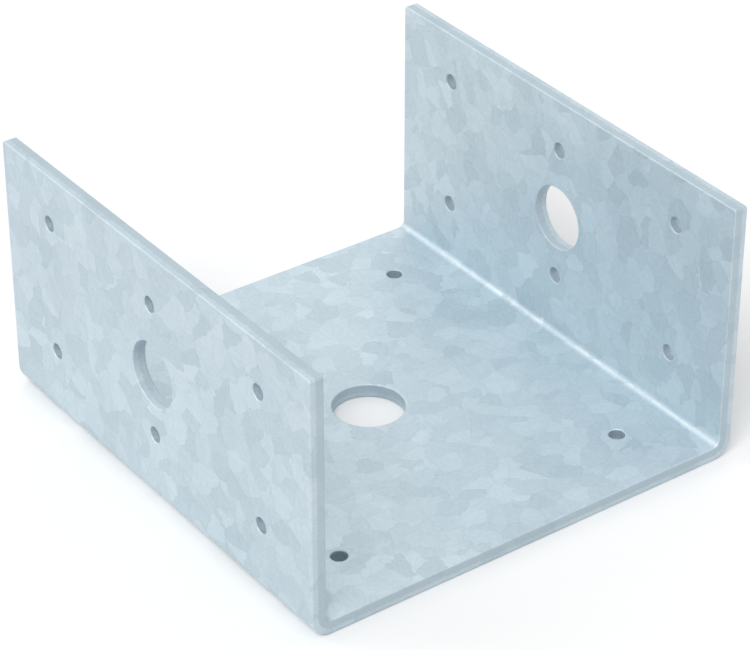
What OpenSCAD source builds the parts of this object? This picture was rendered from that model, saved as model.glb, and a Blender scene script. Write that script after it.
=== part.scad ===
// Post base: one steel sheet, punched flat and folded twice into a U. The seat is bolted down to
// concrete, and the two sides clasp the foot of a timber post, which is nailed or bolted through.
// Millimetres. +Z is up, the bends run along Y, and the origin is on the underside, at the
// centre of the anchor hole.

/* [Post] */
// Width of the dressed timber post that stands between the sides
post_w = 140; // [90:1:190]
// Play between the post and the sides, both sides together
post_play = 1.4; // [0.4:0.2:4]

/* [Sheet] */
// Thickness of the sheet
sheet_t = 4.5; // [3:0.1:6]
// Length of the sheet along the bends
base_l = 156; // [110:1:220]
// Height of the sides, from the underside of the seat to their top edge
side_h = 85; // [80:1:150]
// Inside radius of the two bends
bend_r = 2.2; // [2:0.1:8]
// Radius of the sheet's four corners, at the top of the sides
corner_r = 1; // [1:0.5:12]
// Radius that deburring and zinc leave on the sheared edges and punched rims
edge_r = 0.4; // [0.2:0.05:0.45]

/* [Seat holes] */
// Diameter of the hole for the anchor bolt
anchor_d = 22.2; // [14:0.1:30]
// Seat's nail holes, from their centre to the sheet's end
seat_nail_end = 22.5; // [10:0.5:35]
// Seat's nail holes, from their centre to the post's face
seat_nail_side = 19.5; // [12:0.5:28]

/* [Side holes] */
// Diameter of the hole for the bolt that passes through the post
bolt_d = 20.6; // [12:0.1:26]
// Height of the bolt's centre above the seat
bolt_up = 40.5; // [36:0.5:46]
// Diameter of every nail hole
nail_d = 5; // [3.5:0.1:7]
// Lower nail holes, from their centre to the seat
nail_up = 20; // [14:0.5:24]
// Upper nail holes, from their centre to the top edge
nail_down = 16.5; // [8:0.5:19]
// Outer nail holes, from their centre to the sheet's end
nail_end = 24.5; // [10:0.5:35]

/* [Hidden] */
$fn = 96;

inner_w = post_w + post_play;
outer_bend_r = bend_r + sheet_t;
// A cutter reaches this far past the face it starts from
reach = 2;
zinc_grey = "#bcced8";

// Section of a flat strip, lying along X from 0 to its width and up Y to the sheet's thickness.
// The edge at the far end is rounded on both faces
module edge_section(width) {
    square([width - edge_r, sheet_t]);
    translate([0, edge_r])
        square([width, sheet_t - 2 * edge_r]);
    for (y = [edge_r, sheet_t - edge_r])
        translate([width - edge_r, y])
            circle(r = edge_r);
}

// Section across the whole sheet, with both of its edges rounded
module sheet_section() {
    for (side = [0, 1])
        mirror([side, 0])
            edge_section(base_l / 2);
}

// Flat seat between the two bends
module seat() {
    flat_w = inner_w - 2 * bend_r;
    translate([-flat_w / 2, 0, 0])
        rotate([90, 0, 90])
            linear_extrude(flat_w)
                sheet_section();
}

// Quarter turn that carries the seat up into the right side
module bend() {
    translate([inner_w / 2 - bend_r, 0, outer_bend_r])
        rotate([90, 0, 0])
            rotate_extrude(angle = -90)
                translate([bend_r, 0])
                    rotate([0, 0, -90])
                        mirror([1, 0])
                            sheet_section();
}

// One side laid flat, from the end of its bend at Y = 0 up to its top edge
module flat_side() {
    straight_h = side_h - outer_bend_r - corner_r;
    rotate([90, 0, 0])
        mirror([0, 0, 1])
            linear_extrude(straight_h)
                sheet_section();
    translate([0, straight_h, 0]) {
        translate([-base_l / 2 + corner_r, 0, 0])
            rotate([90, 0, 90])
                linear_extrude(base_l - 2 * corner_r)
                    edge_section(corner_r);
        for (side = [0, 1])
            mirror([side, 0, 0])
                translate([base_l / 2 - corner_r, 0, 0])
                    rotate_extrude(angle = 90)
                        edge_section(corner_r);
    }
}

// Right side, stood up at the end of its bend
module side() {
    translate([inner_w / 2, 0, outer_bend_r])
        rotate([90, 0, 90])
            flat_side();
}

// The sheet after both folds, before its holes
module folded_sheet() {
    seat();
    for (turn = [0, 180])
        rotate([0, 0, turn]) {
            bend();
            side();
        }
}

// Half section of the cutter that rounds one rim, where the face lies at Y = 0
module rim_section(hole_r) {
    difference() {
        translate([hole_r - edge_r, -edge_r])
            square([2 * edge_r, edge_r + reach]);
        translate([hole_r + edge_r, -edge_r])
            circle(r = edge_r);
    }
}

// Cutter for a round hole through the sheet, which lies from Z = 0 to its thickness
module punch(hole_d) {
    translate([0, 0, -reach])
        cylinder(d = hole_d, h = sheet_t + 2 * reach);
    rotate_extrude() {
        translate([0, sheet_t])
            rim_section(hole_d / 2);
        mirror([0, 1])
            rim_section(hole_d / 2);
    }
}

// Anchor hole and four nail holes of the seat
module seat_holes() {
    punch(anchor_d);
    for (x = [-1, 1] * (post_w / 2 - seat_nail_side), y = [-1, 1] * (base_l / 2 - seat_nail_end))
        translate([x, y])
            punch(nail_d);
}

// Bolt hole and two rows of three nail holes of the right side
module side_holes() {
    outer_y = base_l / 2 - nail_end;
    translate([inner_w / 2, 0])
        rotate([90, 0, 90]) {
            translate([0, sheet_t + bolt_up])
                punch(bolt_d);
            for (y = [-outer_y, 0, outer_y], z = [sheet_t + nail_up, side_h - nail_down])
                translate([y, z])
                    punch(nail_d);
        }
}

module post_base() {
    color(zinc_grey)
        difference() {
            folded_sheet();
            seat_holes();
            for (turn = [0, 180])
                rotate([0, 0, turn])
                    side_holes();
        }
}

post_base();
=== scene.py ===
"""Post base, dressed for the render: one sheet of galvanised steel, punched flat and folded twice.

Lengths are in metres. The origin is on the underside at the middle of the seat, +Z is up, and the
two bends run along Y.
"""
import math

import bmesh
import bpy
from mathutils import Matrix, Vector


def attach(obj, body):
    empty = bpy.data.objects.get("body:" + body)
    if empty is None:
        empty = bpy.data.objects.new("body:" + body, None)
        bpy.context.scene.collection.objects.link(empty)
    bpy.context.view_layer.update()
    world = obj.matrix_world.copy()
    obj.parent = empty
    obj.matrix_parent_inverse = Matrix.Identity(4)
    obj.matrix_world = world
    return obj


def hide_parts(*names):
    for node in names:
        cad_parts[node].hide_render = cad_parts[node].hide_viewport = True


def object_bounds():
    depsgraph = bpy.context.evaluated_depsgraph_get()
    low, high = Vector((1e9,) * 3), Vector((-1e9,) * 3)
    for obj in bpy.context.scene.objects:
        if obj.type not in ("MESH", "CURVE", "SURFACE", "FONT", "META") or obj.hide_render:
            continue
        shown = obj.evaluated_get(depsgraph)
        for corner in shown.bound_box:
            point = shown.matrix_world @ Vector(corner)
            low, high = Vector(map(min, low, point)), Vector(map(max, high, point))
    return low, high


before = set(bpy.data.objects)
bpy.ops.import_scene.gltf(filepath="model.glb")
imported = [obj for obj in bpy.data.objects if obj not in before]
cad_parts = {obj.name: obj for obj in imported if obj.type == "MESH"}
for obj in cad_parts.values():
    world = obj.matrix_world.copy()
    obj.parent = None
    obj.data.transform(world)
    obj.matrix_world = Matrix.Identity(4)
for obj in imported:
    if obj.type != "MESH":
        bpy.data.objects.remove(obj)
cad_low, cad_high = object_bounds()

MM = 0.001

# The sheet and its bends. The overall sizes come from the frame
SHEET_THICKNESS = 4.5 * MM
SHEET_LENGTH = cad_high.y - cad_low.y
SIDE_HEIGHT = cad_high.z - cad_low.z
BEND_RADIUS = 2.2 * MM
OUTER_BEND_RADIUS = BEND_RADIUS + SHEET_THICKNESS
CORNER_RADIUS = 1.0 * MM
RIM_RADIUS = 0.4 * MM
SEAT_FLAT = cad_high.x - cad_low.x - 2 * OUTER_BEND_RADIUS
SIDE_FLAT = SIDE_HEIGHT - OUTER_BEND_RADIUS
# The blank keeps its length round a bend at the middle of its thickness
BEND_ARC = math.pi / 2 * (BEND_RADIUS + SHEET_THICKNESS / 2)
# Where height 0 would lie on the flat blank, measured from its middle
SIDE_START = SEAT_FLAT / 2 + BEND_ARC - OUTER_BEND_RADIUS

# Diameters of the holes, and their places on the folded sheet
ANCHOR_HOLE = 22.2 * MM
BOLT_HOLE = 20.6 * MM
NAIL_HOLE = 5.0 * MM
BOLT_HEIGHT = 45.0 * MM
LOW_NAIL_HEIGHT = 24.5 * MM
HIGH_NAIL_HEIGHT = 68.5 * MM
SIDE_NAIL_ALONG = 53.5 * MM
SEAT_NAIL_ACROSS = 50.5 * MM
SEAT_NAIL_ALONG = 55.5 * MM
# Nail holes in each side
NAIL_ROWS = 2
NAIL_COLUMNS = 3

# How fine the mesh is
BIG_HOLE_STEPS = 112
NAIL_HOLE_STEPS = 56
CORNER_STEPS = 10
BEND_STEPS = 24
RIM_STEPS = 5
# Points nearer to each other than this are merged
MERGE_GAP = 0.001 * MM

# The camera stands where the drawing was seen from. Its angles are in degrees, and its lens and film
# in millimetres
CAMERA_AZIMUTH = -36.06
CAMERA_ELEVATION = 32.88
CAMERA_DISTANCE = 930.6 * MM
CAMERA_AIM = Vector((10.44, 11.1, 23.4)) * MM
CAMERA_LENS = 148.4
FILM_WIDTH = 36

MATH = "ShaderNodeMath"
VECTOR = "ShaderNodeVectorMath"
# A Compare node's whole numbers and a Mix node's colours share their names with its other sockets,
# so they go by their number
WHOLE_A = 2
WHOLE_B = 3
COLOUR_A = 6
COLOUR_B = 7
MIXED_COLOUR = 2
# Times this, a place keeps its X and Y and loses its Z
WITHOUT_Z = (1, 1, 0)


def add_node(tree, kind, inputs=(), **settings):
    """Adds a node with its settings, and sets or links its inputs, given in order or by name. A node
    stands for its first output, and a list goes to a socket that takes several links."""
    node = tree.nodes.new(kind)
    for name, value in settings.items():
        setattr(node, name, value)
    if not isinstance(inputs, dict):
        inputs = dict(enumerate(inputs))
    for key, value in inputs.items():
        sources = value if isinstance(value, list) else [value]
        for source in sources:
            if isinstance(source, bpy.types.Node):
                source = source.outputs[0]
            if isinstance(source, bpy.types.NodeSocket):
                tree.links.new(source, node.inputs[key])
            else:
                node.inputs[key].default_value = source
    return node


def new_tree(name, sizes):
    """A Geometry Nodes tree with a geometry in and out, and a named input for each size."""
    tree = bpy.data.node_groups.new(name, "GeometryNodeTree")
    tree.interface.new_socket("Geometry", in_out="INPUT", socket_type="NodeSocketGeometry")
    tree.interface.new_socket("Geometry", in_out="OUTPUT", socket_type="NodeSocketGeometry")
    for size in sizes:
        tree.interface.new_socket(size, in_out="INPUT", socket_type="NodeSocketFloat")
    return tree, add_node(tree, "NodeGroupInput").outputs


def end_tree(tree, sheet, material):
    """Ends the tree in a real mesh that carries the material."""
    sheet = add_node(tree, "GeometryNodeRealizeInstances", [sheet])
    sheet = add_node(tree, "GeometryNodeSetMaterial", {"Geometry": sheet, "Material": material})
    add_node(tree, "NodeGroupOutput", [sheet])


def use_tree(piece, tree, sizes):
    """Puts the tree on the piece, with each size set by its socket's identifier."""
    modifier = piece.modifiers.new(tree.name, "NODES")
    modifier.node_group = tree
    for socket in tree.interface.items_tree:
        if socket.name in sizes:
            modifier[socket.identifier] = sizes[socket.name]


# Flat blank

# X runs across the blank from the middle of the seat, and Y along the bends. Z runs through the
# sheet, from 0 at the face that ends up outside to the face that ends up inside
BLANK_SIZES = {
    "Sheet thickness": SHEET_THICKNESS,
    "Sheet length": SHEET_LENGTH,
    "Seat flat": SEAT_FLAT,
    "Bend arc": BEND_ARC,
    "Side flat": SIDE_FLAT,
    "Corner radius": CORNER_RADIUS,
    "Rim radius": RIM_RADIUS,
    "Anchor hole": ANCHOR_HOLE,
    "Bolt hole": BOLT_HOLE,
    "Nail hole": NAIL_HOLE,
    "Bolt offset": SIDE_START + BOLT_HEIGHT,
    "Nail rows offset": SIDE_START + (LOW_NAIL_HEIGHT + HIGH_NAIL_HEIGHT) / 2,
    "Nail row spacing": HIGH_NAIL_HEIGHT - LOW_NAIL_HEIGHT,
    "Nail column spacing": SIDE_NAIL_ALONG,
    "Seat nail spacing across": 2 * SEAT_NAIL_ACROSS,
    "Seat nail spacing along": 2 * SEAT_NAIL_ALONG,
}


def mirrored(tree, part):
    """Joins a part with its mirror image across the middle of the blank."""
    image = add_node(tree, "GeometryNodeTransform", {"Geometry": part, "Scale": (-1, 1, 1)})
    return add_node(tree, "GeometryNodeJoinGeometry", [[part, image]])


def hole_rims(tree, size):
    """Circles where the flat face ends at each hole. Each point holds the way into its hole."""
    anchor = add_node(tree, "GeometryNodeMeshLine", {"Count": 1})
    bolt_place = add_node(tree, "ShaderNodeCombineXYZ", [size["Bolt offset"]])
    bolt = add_node(tree, "GeometryNodeMeshLine", {"Count": 1, "Start Location": bolt_place})
    columns_span = add_node(tree, MATH, [size["Nail column spacing"], NAIL_COLUMNS - 1],
                            operation="MULTIPLY")
    side_nails = add_node(tree, "GeometryNodeMeshGrid",
                          {"Size X": size["Nail row spacing"], "Size Y": columns_span,
                           "Vertices X": NAIL_ROWS, "Vertices Y": NAIL_COLUMNS})
    rows_place = add_node(tree, "ShaderNodeCombineXYZ", [size["Nail rows offset"]])
    side_nails = add_node(tree, "GeometryNodeTransform",
                          {"Geometry": side_nails, "Translation": rows_place})
    # One nail hole near each corner of the seat
    seat_nails = add_node(tree, "GeometryNodeMeshGrid",
                          {"Size X": size["Seat nail spacing across"],
                           "Size Y": size["Seat nail spacing along"],
                           "Vertices X": 2, "Vertices Y": 2})
    nails = add_node(tree, "GeometryNodeJoinGeometry", [[mirrored(tree, side_nails), seat_nails]])

    on_circle = add_node(tree, "GeometryNodeInputPosition")
    from_centre = add_node(tree, VECTOR, [on_circle], operation="NORMALIZE")
    into_hole = add_node(tree, VECTOR, {0: from_centre, "Scale": -1.0}, operation="SCALE")
    rims = []
    for centres, hole, steps in ((anchor, "Anchor hole", BIG_HOLE_STEPS),
                                 (mirrored(tree, bolt), "Bolt hole", BIG_HOLE_STEPS),
                                 (nails, "Nail hole", NAIL_HOLE_STEPS)):
        radius = add_node(tree, MATH, [size[hole], 0.5, size["Rim radius"]], operation="MULTIPLY_ADD")
        circle = add_node(tree, "GeometryNodeCurvePrimitiveCircle", {"Resolution": steps, "Radius": radius})
        circle = add_node(tree, "GeometryNodeStoreNamedAttribute",
                          {"Geometry": circle, "Name": "outward", "Value": into_hole},
                          data_type="FLOAT_VECTOR")
        rims.append(add_node(tree, "GeometryNodeInstanceOnPoints", {"Points": centres, "Instance": circle}))
    rims = add_node(tree, "GeometryNodeJoinGeometry", [rims])
    return add_node(tree, "GeometryNodeRealizeInstances", [rims])


def flat_face(tree, size, rims):
    """One face of the blank, cut by the holes, with cross lines where it will bend. Its edge stops
    short of the sheet's by the rim radius."""
    length = add_node(tree, MATH, [size["Rim radius"], -2, size["Sheet length"]], operation="MULTIPLY_ADD")
    seat = add_node(tree, "GeometryNodeCurvePrimitiveQuadrilateral", [size["Seat flat"], length])
    bend_middle = add_node(tree, MATH, [size["Seat flat"], size["Bend arc"]], operation="ADD")
    bend_middle = add_node(tree, MATH, [bend_middle, 0.5], operation="MULTIPLY")
    bend = add_node(tree, "GeometryNodeMeshGrid",
                    {"Size X": size["Bend arc"], "Size Y": length,
                     "Vertices X": BEND_STEPS + 1, "Vertices Y": 2})
    bend_place = add_node(tree, "ShaderNodeCombineXYZ", [bend_middle])
    bend = add_node(tree, "GeometryNodeTransform", {"Geometry": bend, "Translation": bend_place})

    # The side's face runs from the end of the bend to the top edge, where its two corners are rounded
    side_width = add_node(tree, MATH, [size["Side flat"], size["Rim radius"]], operation="SUBTRACT")
    side = add_node(tree, "GeometryNodeCurvePrimitiveQuadrilateral", [side_width, length])
    corner_radius = add_node(tree, MATH, [size["Corner radius"], size["Rim radius"]], operation="SUBTRACT")
    on_side = add_node(tree, "GeometryNodeInputPosition")
    from_side_middle = add_node(tree, "ShaderNodeSeparateXYZ", [on_side]).outputs["X"]
    at_top = add_node(tree, MATH, [from_side_middle, 0.0], operation="GREATER_THAN")
    corner_radius = add_node(tree, MATH, [corner_radius, at_top], operation="MULTIPLY")
    side = add_node(tree, "GeometryNodeFilletCurve",
                    {"Curve": side, "Count": CORNER_STEPS, "Radius": corner_radius}, mode="POLY")
    side_middle = add_node(tree, MATH, [size["Bend arc"], side_width], operation="ADD")
    side_middle = add_node(tree, MATH, [side_middle, 0.5, bend_middle], operation="MULTIPLY_ADD")
    side_place = add_node(tree, "ShaderNodeCombineXYZ", [side_middle])
    side = add_node(tree, "GeometryNodeTransform", {"Geometry": side, "Translation": side_place})

    outlines = add_node(tree, "GeometryNodeJoinGeometry", [[seat, mirrored(tree, side), rims]])
    flats = add_node(tree, "GeometryNodeFillCurve", [outlines])
    face = add_node(tree, "GeometryNodeJoinGeometry", [[flats, mirrored(tree, bend)]])
    return add_node(tree, "GeometryNodeMergeByDistance", {"Geometry": face, "Distance": MERGE_GAP})


def outward(tree, size, rims):
    """The way out of the sheet at each point of the face's edge: into the nearest hole, or off the
    blank's outline, which is a rectangle with rounded corners."""
    place = add_node(tree, "GeometryNodeInputPosition")
    # The nearest point is only found on a mesh, not on curves
    rims = add_node(tree, "GeometryNodeCurveToMesh", [rims])
    nearest = add_node(tree, "GeometryNodeSampleNearest", {"Geometry": rims, "Sample Position": place})
    stored = add_node(tree, "GeometryNodeInputNamedAttribute", {"Name": "outward"}, data_type="FLOAT_VECTOR")
    into_hole = add_node(tree, "GeometryNodeSampleIndex",
                         {"Geometry": rims, "Value": stored, "Index": nearest}, data_type="FLOAT_VECTOR")

    # Off the outline, it points away from the middle of a corner's rounding, or straight off an edge
    half_width = add_node(tree, MATH, [size["Seat flat"], 0.5, size["Bend arc"]], operation="MULTIPLY_ADD")
    half_width = add_node(tree, MATH, [half_width, size["Side flat"]], operation="ADD")
    half_length = add_node(tree, MATH, [size["Sheet length"], 0.5], operation="MULTIPLY")
    outline = add_node(tree, "ShaderNodeCombineXYZ", [half_width, half_length])
    rounding_middle = add_node(tree, VECTOR, [outline, size["Corner radius"]], operation="SUBTRACT")
    from_middle = add_node(tree, VECTOR, [place], operation="ABSOLUTE")
    beyond = add_node(tree, VECTOR, [from_middle, rounding_middle], operation="SUBTRACT")
    beyond = add_node(tree, VECTOR, [beyond, (0, 0, 0)], operation="MAXIMUM")
    sign = add_node(tree, VECTOR, [place], operation="SIGN")
    beyond = add_node(tree, VECTOR, [beyond, sign], operation="MULTIPLY")
    off_outline = add_node(tree, VECTOR, [beyond, WITHOUT_Z], operation="MULTIPLY")
    off_outline = add_node(tree, VECTOR, [off_outline], operation="NORMALIZE")
    at_outline = add_node(tree, VECTOR, [off_outline], operation="LENGTH").outputs["Value"]
    return add_node(tree, "GeometryNodeSwitch",
                    {"Switch": at_outline, "False": into_hole, "True": off_outline}, input_type="VECTOR")


def rim_steps(rim_radius, wall):
    """Steps that round the upper rim, go down the wall and round the lower rim: how far out and how
    far down, and the size that each is a share of."""
    turn = [math.radians(90 * i / RIM_STEPS) for i in range(RIM_STEPS + 1)]
    rounding = [(math.sin(b) - math.sin(a), math.cos(a) - math.cos(b)) for a, b in zip(turn, turn[1:])]
    upper = [(out, down, rim_radius) for out, down in rounding]
    lower = [(-out, down, rim_radius) for out, down in reversed(rounding)]
    return upper + [(0, 1, wall)] + lower


def blank_tree(material):
    """The flat blank: its two faces, and the cut wall between them round every hole and the outline."""
    tree, size = new_tree("Punched blank", BLANK_SIZES)
    rims = hole_rims(tree, size)
    face = flat_face(tree, size, rims)
    way_out = outward(tree, size, rims)
    sheet = add_node(tree, "GeometryNodeStoreNamedAttribute",
                     {"Geometry": face, "Name": "outward", "Value": way_out}, data_type="FLOAT_VECTOR")
    up = add_node(tree, "ShaderNodeCombineXYZ", {"Z": size["Sheet thickness"]})
    sheet = add_node(tree, "GeometryNodeTransform", {"Geometry": sheet, "Translation": up})

    # The upper face's open edges are drawn out and down, step by step, to the lower face
    faces_beside = add_node(tree, "GeometryNodeInputMeshEdgeNeighbors")
    edge = add_node(tree, "FunctionNodeCompare", {WHOLE_A: faces_beside, WHOLE_B: 1},
                    data_type="INT", operation="EQUAL")
    out = add_node(tree, "GeometryNodeInputNamedAttribute", {"Name": "outward"}, data_type="FLOAT_VECTOR")
    wall = add_node(tree, MATH, [size["Rim radius"], -2, size["Sheet thickness"]], operation="MULTIPLY_ADD")
    for out_share, down_share, whole in rim_steps(size["Rim radius"], wall):
        out_by = add_node(tree, MATH, [whole, out_share], operation="MULTIPLY")
        down_by = add_node(tree, MATH, [whole, -down_share], operation="MULTIPLY")
        out_step = add_node(tree, VECTOR, {0: out, "Scale": out_by}, operation="SCALE")
        down_step = add_node(tree, "ShaderNodeCombineXYZ", {"Z": down_by})
        step = add_node(tree, VECTOR, [out_step, down_step], operation="ADD")
        sheet = add_node(tree, "GeometryNodeExtrudeMesh",
                         {"Mesh": sheet, "Selection": edge, "Offset": step}, mode="EDGES")
        edge = sheet.outputs["Top"]
    sheet = add_node(tree, "GeometryNodeRemoveAttribute", {"Geometry": sheet, "Name": "outward"})
    underside = add_node(tree, "GeometryNodeFlipFaces", [face])
    sheet = add_node(tree, "GeometryNodeJoinGeometry", [[sheet, underside]])
    sheet = add_node(tree, "GeometryNodeMergeByDistance", {"Geometry": sheet, "Distance": MERGE_GAP})

    # The finish on the cut walls follows the depth into the sheet and the place on the blank
    place = add_node(tree, "GeometryNodeInputPosition")
    height = add_node(tree, "ShaderNodeSeparateXYZ", [place]).outputs["Z"]
    depth = add_node(tree, MATH, [height, size["Sheet thickness"]], operation="DIVIDE")
    sheet = add_node(tree, "GeometryNodeStoreNamedAttribute",
                     {"Geometry": sheet, "Name": "depth", "Value": depth}, data_type="FLOAT")
    on_blank = add_node(tree, VECTOR, [place, WITHOUT_Z], operation="MULTIPLY")
    sheet = add_node(tree, "GeometryNodeStoreNamedAttribute",
                     {"Geometry": sheet, "Name": "place on blank", "Value": on_blank},
                     data_type="FLOAT_VECTOR")
    end_tree(tree, sheet, material)
    return tree


# Folding

FOLD_SIZES = {"Seat flat": SEAT_FLAT, "Bend arc": BEND_ARC, "Outer bend radius": OUTER_BEND_RADIUS}


def fold_tree(material):
    """Folds both sides of the blank up through a right angle."""
    tree, size = new_tree("Two folds", FOLD_SIZES)
    place = add_node(tree, "GeometryNodeInputPosition")
    x, y, z = add_node(tree, "ShaderNodeSeparateXYZ", [place]).outputs
    side = add_node(tree, MATH, [x], operation="SIGN")
    across = add_node(tree, MATH, [x], operation="ABSOLUTE")
    seat_half = add_node(tree, MATH, [size["Seat flat"], 0.5], operation="MULTIPLY")
    past_seat = add_node(tree, MATH, [across, seat_half], operation="SUBTRACT")
    past_bend = add_node(tree, MATH, [past_seat, size["Bend arc"]], operation="SUBTRACT")
    on_seat = add_node(tree, MATH, [across, seat_half], operation="MINIMUM")
    up_side = add_node(tree, MATH, [past_bend, 0.0], operation="MAXIMUM")
    turn = add_node(tree, MATH, [past_seat, size["Bend arc"]], operation="DIVIDE", use_clamp=True)
    turn = add_node(tree, MATH, [turn, math.pi / 2], operation="MULTIPLY")
    sine = add_node(tree, MATH, [turn], operation="SINE")
    cosine = add_node(tree, MATH, [turn], operation="COSINE")
    radius = add_node(tree, MATH, [size["Outer bend radius"], z], operation="SUBTRACT")
    new_x = add_node(tree, MATH, [radius, sine, on_seat], operation="MULTIPLY_ADD")
    new_x = add_node(tree, MATH, [new_x, side], operation="MULTIPLY")
    below_axis = add_node(tree, MATH, [radius, cosine], operation="MULTIPLY")
    new_z = add_node(tree, MATH, [size["Outer bend radius"], below_axis], operation="SUBTRACT")
    new_z = add_node(tree, MATH, [new_z, up_side], operation="ADD")
    folded = add_node(tree, "ShaderNodeCombineXYZ", [new_x, y, new_z])
    sheet = add_node(tree, "GeometryNodeSetPosition", {"Geometry": size["Geometry"], "Position": folded})
    sheet = add_node(tree, "GeometryNodeSetShadeSmooth", [sheet])
    end_tree(tree, sheet, material)
    return tree


def folded_sheet(material):
    """The whole post base, as one closed mesh."""
    piece = bpy.data.objects.new("folded_sheet", bpy.data.meshes.new("folded_sheet"))
    bpy.context.scene.collection.objects.link(piece)
    use_tree(piece, blank_tree(material), BLANK_SIZES)
    use_tree(piece, fold_tree(material), FOLD_SIZES)
    built = piece.evaluated_get(bpy.context.evaluated_depsgraph_get())
    mesh = bpy.data.meshes.new_from_object(built)
    piece.modifiers.clear()
    piece.data = mesh

    # Faces point outwards, those of the mirrored parts too. The trees leave an empty slot before the
    # material's, so its slot is made the only one
    shell = bmesh.new()
    shell.from_mesh(mesh)
    bmesh.ops.recalc_face_normals(shell, faces=shell.faces)
    for face in shell.faces:
        face.material_index = 0
    shell.to_mesh(mesh)
    shell.free()
    mesh.materials.clear()
    mesh.materials.append(material)

    # At its highest weight, the large flat faces alone set the shading beside a rounded rim
    normals = piece.modifiers.new("Flat faces stay flat", "WEIGHTED_NORMAL")
    normals.weight = 100
    return piece


# Galvanised steel

# Sizes of the zinc's patterns. The feathers are drawn coarser than the real ones, which are a fraction
# of a millimetre wide, and so are the scores that the punch and the shear leave, which are about 0.1 mm
GRAIN = 7 * MM
GRAIN_WANDER = 4 * MM
FEATHER_LENGTH = 12 * MM
FEATHER_WIDTH = 0.9 * MM
CLOUD = 30 * MM
PIT = 0.7 * MM
PIT_DEPTH = 0.03 * MM
SCORE = 0.5 * MM

# Feathers branch off their spines at 60 degrees, as zinc crystals do. They turn about an axis that
# leans alike to the seat and the sides
FEATHER_BRANCH = math.radians(60)
FEATHER_AXIS = (0.577, 0.577, 0.577)

# A seam between two grains, as a share of a grain's width
SEAM = 0.05
# Levels of the noise at which feathers and clouds start to show, and show in full
FEATHER_START = 0.42
FEATHER_FULL = 0.72
CLOUD_START = 0.3
CLOUD_FULL = 0.7

# The zinc's two colours, and how much each pattern counts from the one to the other
DARK_ZINC = "#B2C2CA"
PALE_ZINC = "#D0DDE4"
GRAIN_TONE = 0.45
FEATHER_TONE = 0.3
CLOUD_TONE = 0.25
SEAM_TONE = -0.15

# The cut wall starts and is full this far from either face, as a share of the sheet's thickness
WALL_START = 0.01
WALL_FULL = 0.09
# The torn band lies past a line that the scores make ragged, about two fifths in from the outer face
RAGGEDNESS = 0.5
TORN_START = 0.63
TORN_FULL = 0.69
# The colour of cut metal under the zinc, and how much of it the wall and the torn band show
CUT_METAL = "#AEBDC6"
WALL_DULLNESS = 0.25
TORN_DULLNESS = 0.5

# Roughness where the zinc is clear and where it is clouded, and what a grain and dull metal add
CLEAR_ROUGHNESS = 0.42
CLOUDED_ROUGHNESS = 0.5
GRAIN_ROUGHNESS = 0.14
DULL_ROUGHNESS = 0.16

# The zinc's dull skin keeps it from shining like bare metal
METALLIC = 0.7
# How far a grain leans out of the surface, as a share of its normal
GRAIN_LEAN = 0.06
# How much deeper the pits are in the torn band, and how deep the scores are, both in pits
TORN_PITS = 3.0
SCORE_PITS = 6.0
PIT_STRENGTH = 0.6
# The middle of the noise's colours. With it taken off, a colour is a shift that can go any way
NOISE_MIDDLE = (0.5, 0.5, 0.5)


def linear(hex_colour):
    """Linear RGBA of an sRGB hex colour, by the standard's own curve."""
    parts = [int(hex_colour[i:i + 2], 16) / 255 for i in (1, 3, 5)]
    return tuple(c / 12.92 if c <= 0.04045 else ((c + 0.055) / 1.055) ** 2.4 for c in parts) + (1.0,)


def new_material(name):
    """An empty node material and its tree."""
    material = bpy.data.materials.new(name)
    material.use_nodes = True
    material.node_tree.nodes.clear()
    return material, material.node_tree


def zinc_grains(tree, place):
    """Grains with uneven borders: a random colour for each, and the seams between them."""
    wander = add_node(tree, "ShaderNodeTexNoise",
                      {"Vector": place, "Scale": 1 / GRAIN_WANDER, "Detail": 2.0})
    shift = add_node(tree, VECTOR, [wander.outputs["Color"], NOISE_MIDDLE], operation="SUBTRACT")
    shift = add_node(tree, VECTOR, {0: shift, "Scale": GRAIN_WANDER}, operation="SCALE")
    warped = add_node(tree, VECTOR, [place, shift], operation="ADD")
    grain = add_node(tree, "ShaderNodeTexVoronoi", {"Vector": warped, "Scale": 1 / GRAIN})
    border = add_node(tree, "ShaderNodeTexVoronoi", {"Vector": warped, "Scale": 1 / GRAIN},
                      feature="DISTANCE_TO_EDGE")
    seam = add_node(tree, "ShaderNodeMapRange",
                    {"Value": border, "From Max": SEAM, "To Min": 1.0, "To Max": 0.0},
                    interpolation_type="SMOOTHSTEP")
    return grain.outputs["Color"], seam


def zinc_feathers(tree, place, heading):
    """Fine feathers inside the grains. Each grain's lie along a heading of its own."""
    squeeze = (1 / FEATHER_LENGTH, 1 / FEATHER_WIDTH, 1 / FEATHER_WIDTH)
    strokes = []
    for branch in (0, FEATHER_BRANCH):
        angle = add_node(tree, MATH, [heading, math.tau, branch], operation="MULTIPLY_ADD")
        turned = add_node(tree, "ShaderNodeVectorRotate",
                          {"Vector": place, "Axis": FEATHER_AXIS, "Angle": angle},
                          rotation_type="AXIS_ANGLE")
        drawn_out = add_node(tree, VECTOR, [turned, squeeze], operation="MULTIPLY")
        strokes.append(add_node(tree, "ShaderNodeTexNoise",
                                {"Vector": drawn_out, "Scale": 1.0, "Detail": 3.0}))
    feather = add_node(tree, MATH, strokes, operation="MAXIMUM")
    return add_node(tree, "ShaderNodeMapRange",
                    {"Value": feather, "From Min": FEATHER_START, "From Max": FEATHER_FULL})


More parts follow.
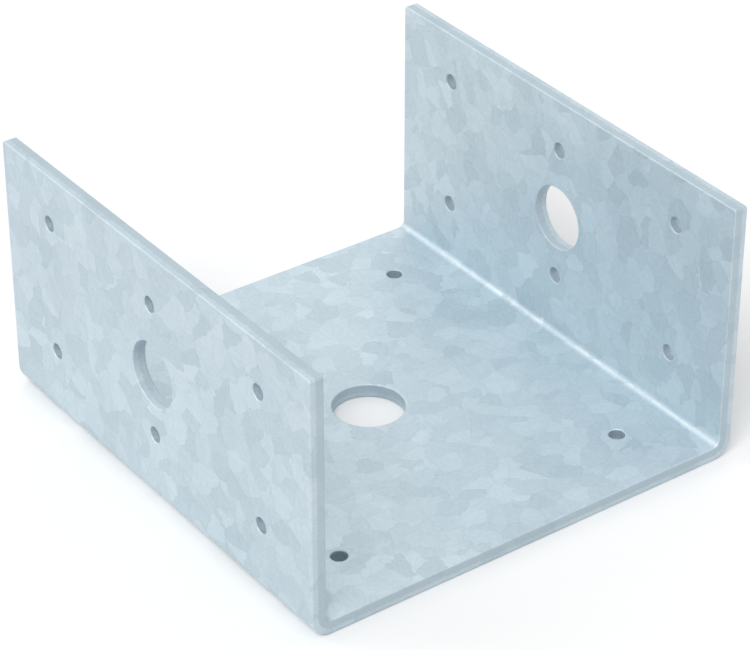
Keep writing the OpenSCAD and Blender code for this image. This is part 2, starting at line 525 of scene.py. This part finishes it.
def cut_wall(tree, score):
    """Sheared and punched walls: where they are, and where they are torn instead of cleanly cut."""
    depth = add_node(tree, "ShaderNodeAttribute", attribute_name="depth").outputs["Fac"]
    depth_from_inside = add_node(tree, MATH, [1.0, depth], operation="SUBTRACT")
    from_face = add_node(tree, MATH, [depth, depth_from_inside], operation="MINIMUM")
    wall = add_node(tree, "ShaderNodeMapRange",
                    {"Value": from_face, "From Min": WALL_START, "From Max": WALL_FULL},
                    interpolation_type="SMOOTHSTEP")
    ragged = add_node(tree, MATH, [score, RAGGEDNESS, depth], operation="MULTIPLY_ADD")
    torn = add_node(tree, "ShaderNodeMapRange",
                    {"Value": ragged, "From Min": TORN_START, "From Max": TORN_FULL},
                    interpolation_type="SMOOTHSTEP")
    return wall, add_node(tree, MATH, [torn, wall], operation="MULTIPLY")


def uneven_surface(tree, place, grain, score, wall, torn):
    """Grains that lean a little, fine pits in the zinc, and scores on the cut walls."""
    lean = add_node(tree, VECTOR, [grain, NOISE_MIDDLE], operation="SUBTRACT")
    lean = add_node(tree, VECTOR, {0: lean, "Scale": GRAIN_LEAN}, operation="SCALE")
    normal = add_node(tree, "ShaderNodeNewGeometry").outputs["Normal"]
    normal = add_node(tree, VECTOR, [normal, lean], operation="ADD")
    normal = add_node(tree, VECTOR, [normal], operation="NORMALIZE")
    pits = add_node(tree, "ShaderNodeTexNoise", {"Vector": place, "Scale": 1 / PIT, "Detail": 4.0})
    pit_depth = add_node(tree, MATH, [torn, TORN_PITS, 1.0], operation="MULTIPLY_ADD")
    height = add_node(tree, MATH, [pit_depth, pits], operation="MULTIPLY")
    scored = add_node(tree, MATH, [score, wall], operation="MULTIPLY")
    height = add_node(tree, MATH, [scored, SCORE_PITS, height], operation="MULTIPLY_ADD")
    return add_node(tree, "ShaderNodeBump",
                    {"Strength": PIT_STRENGTH, "Distance": PIT_DEPTH, "Height": height, "Normal": normal})


def hot_dip_galvanised_steel():
    """Steel sheet dipped in zinc after it was punched and folded. The zinc gives a pale blue-grey satin
    with faint feathered grains. The cut walls show through it, duller, with a rough torn band."""
    material, tree = new_material("hot_dip_galvanised_steel")
    place = add_node(tree, "ShaderNodeTexCoord").outputs["Object"]
    on_blank = add_node(tree, "ShaderNodeAttribute", attribute_name="place on blank").outputs["Vector"]

    grain, seam = zinc_grains(tree, place)
    heading, paleness, own_roughness = add_node(tree, "ShaderNodeSeparateColor", [grain]).outputs
    feather = zinc_feathers(tree, place, heading)
    # Broad faint clouding where the zinc drained
    cloud = add_node(tree, "ShaderNodeTexNoise", {"Vector": place, "Scale": 1 / CLOUD, "Detail": 3.0})
    cloud = add_node(tree, "ShaderNodeMapRange",
                     {"Value": cloud, "From Min": CLOUD_START, "From Max": CLOUD_FULL})
    score = add_node(tree, "ShaderNodeTexNoise", {"Vector": on_blank, "Scale": 1 / SCORE, "Detail": 2.0})
    wall, torn = cut_wall(tree, score)

    tone = add_node(tree, MATH, [cloud, CLOUD_TONE], operation="MULTIPLY")
    tone = add_node(tree, MATH, [feather, FEATHER_TONE, tone], operation="MULTIPLY_ADD")
    tone = add_node(tree, MATH, [paleness, GRAIN_TONE, tone], operation="MULTIPLY_ADD")
    tone = add_node(tree, MATH, [seam, SEAM_TONE, tone], operation="MULTIPLY_ADD")
    zinc = add_node(tree, "ShaderNodeMix",
                    {"Factor": tone, COLOUR_A: linear(DARK_ZINC), COLOUR_B: linear(PALE_ZINC)},
                    data_type="RGBA").outputs[MIXED_COLOUR]
    dull = add_node(tree, MATH, [wall, WALL_DULLNESS], operation="MULTIPLY")
    dull = add_node(tree, MATH, [torn, TORN_DULLNESS, dull], operation="MULTIPLY_ADD")
    colour = add_node(tree, "ShaderNodeMix",
                      {"Factor": dull, COLOUR_A: zinc, COLOUR_B: linear(CUT_METAL)},
                      data_type="RGBA").outputs[MIXED_COLOUR]

    rough = add_node(tree, "ShaderNodeMapRange",
                     {"Value": cloud, "To Min": CLEAR_ROUGHNESS, "To Max": CLOUDED_ROUGHNESS})
    rough = add_node(tree, MATH, [own_roughness, GRAIN_ROUGHNESS, rough], operation="MULTIPLY_ADD")
    rough = add_node(tree, MATH, [dull, DULL_ROUGHNESS, rough], operation="MULTIPLY_ADD")

    bump = uneven_surface(tree, place, grain, score, wall, torn)
    shader = add_node(tree, "ShaderNodeBsdfPrincipled",
                      {"Base Color": colour, "Metallic": METALLIC, "Roughness": rough, "Normal": bump})
    add_node(tree, "ShaderNodeOutputMaterial", [shader])
    return material


# Floor, light and camera

# The floor's reach each way from the middle. It lies a hair under the seat, so that no two faces
# share one plane
FLOOR_REACH = 6.0
FLOOR_DROP = 0.1 * MM
PAPER = "#F2F2F2"
# The tent's light on the object, where 1 is white. It is less than white to leave room for the lamps
TENT_LIGHT = 0.755
WHITE = (1, 1, 1, 1)


def floor_paper():
    """Matt white paper, so the object's soft shadow shows on it."""
    material, tree = new_material("white_paper")
    paper = add_node(tree, "ShaderNodeBsdfDiffuse", [linear(PAPER)])
    add_node(tree, "ShaderNodeOutputMaterial", [paper])
    return material


def floor():
    """The sheet of paper that the post base stands on."""
    corners = [(-FLOOR_REACH, -FLOOR_REACH, 0), (FLOOR_REACH, -FLOOR_REACH, 0),
               (FLOOR_REACH, FLOOR_REACH, 0), (-FLOOR_REACH, FLOOR_REACH, 0)]
    mesh = bpy.data.meshes.new("floor")
    mesh.from_pydata(corners, [], [(0, 1, 2, 3)])
    mesh.materials.append(floor_paper())
    sheet = bpy.data.objects.new("floor", mesh)
    sheet.location.z = -FLOOR_DROP
    bpy.context.scene.collection.objects.link(sheet)


def surroundings():
    """A white tent. The camera and reflections see it plain white, and all else gets a little less
    light from it."""
    world = bpy.data.worlds.new("tent")
    world.use_nodes = True
    bpy.context.scene.world = world
    tree = world.node_tree
    tree.nodes.clear()
    path = add_node(tree, "ShaderNodeLightPath").outputs
    direct = add_node(tree, MATH, [path["Is Camera Ray"], path["Is Glossy Ray"]], operation="ADD")
    direct = add_node(tree, MATH, [direct, path["Is Transmission Ray"]], operation="ADD", use_clamp=True)
    lit = add_node(tree, "ShaderNodeBackground", [WHITE, TENT_LIGHT])
    seen = add_node(tree, "ShaderNodeBackground", [WHITE, 1.0])
    tent = add_node(tree, "ShaderNodeMixShader", [direct, lit, seen])
    add_node(tree, "ShaderNodeOutputWorld", [tent])


def from_angle(azimuth, elevation):
    """The direction towards a viewer or lamp. Azimuth 0 stands at the front and looks along +Y."""
    turn = math.radians(azimuth)
    rise = math.radians(elevation)
    return Vector((math.sin(turn) * math.cos(rise), -math.cos(turn) * math.cos(rise), math.sin(rise)))


def lamp(name, azimuth, elevation, strength, softness):
    """A distant lamp, soft by the angle that it fills in the sky."""
    light = bpy.data.lights.new(name, "SUN")
    light.energy = strength
    light.angle = math.radians(softness)
    rig = bpy.data.objects.new(name, light)
    rig.rotation_euler = (-from_angle(azimuth, elevation)).to_track_quat("-Z", "Y").to_euler()
    bpy.context.scene.collection.objects.link(rig)


def camera():
    """The camera, turned to its aim."""
    lens = bpy.data.cameras.new("camera")
    lens.lens = CAMERA_LENS
    lens.sensor_width = FILM_WIDTH
    viewer = bpy.data.objects.new("camera", lens)
    back = from_angle(CAMERA_AZIMUTH, CAMERA_ELEVATION)
    viewer.location = CAMERA_AIM + back * CAMERA_DISTANCE
    viewer.rotation_euler = (-back).to_track_quat("-Z", "Y").to_euler()
    bpy.context.scene.collection.objects.link(viewer)
    bpy.context.scene.camera = viewer


piece = folded_sheet(hot_dip_galvanised_steel())
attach(piece, "root")
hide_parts("post_base")

floor()
surroundings()
lamp("key", azimuth=-60, elevation=50, strength=1.3, softness=30)
lamp("back right", azimuth=135, elevation=45, strength=0.14, softness=40)
lamp("back left", azimuth=-143, elevation=33, strength=0.45, softness=40)
camera()
bpy.context.scene.view_settings.view_transform = "Standard"
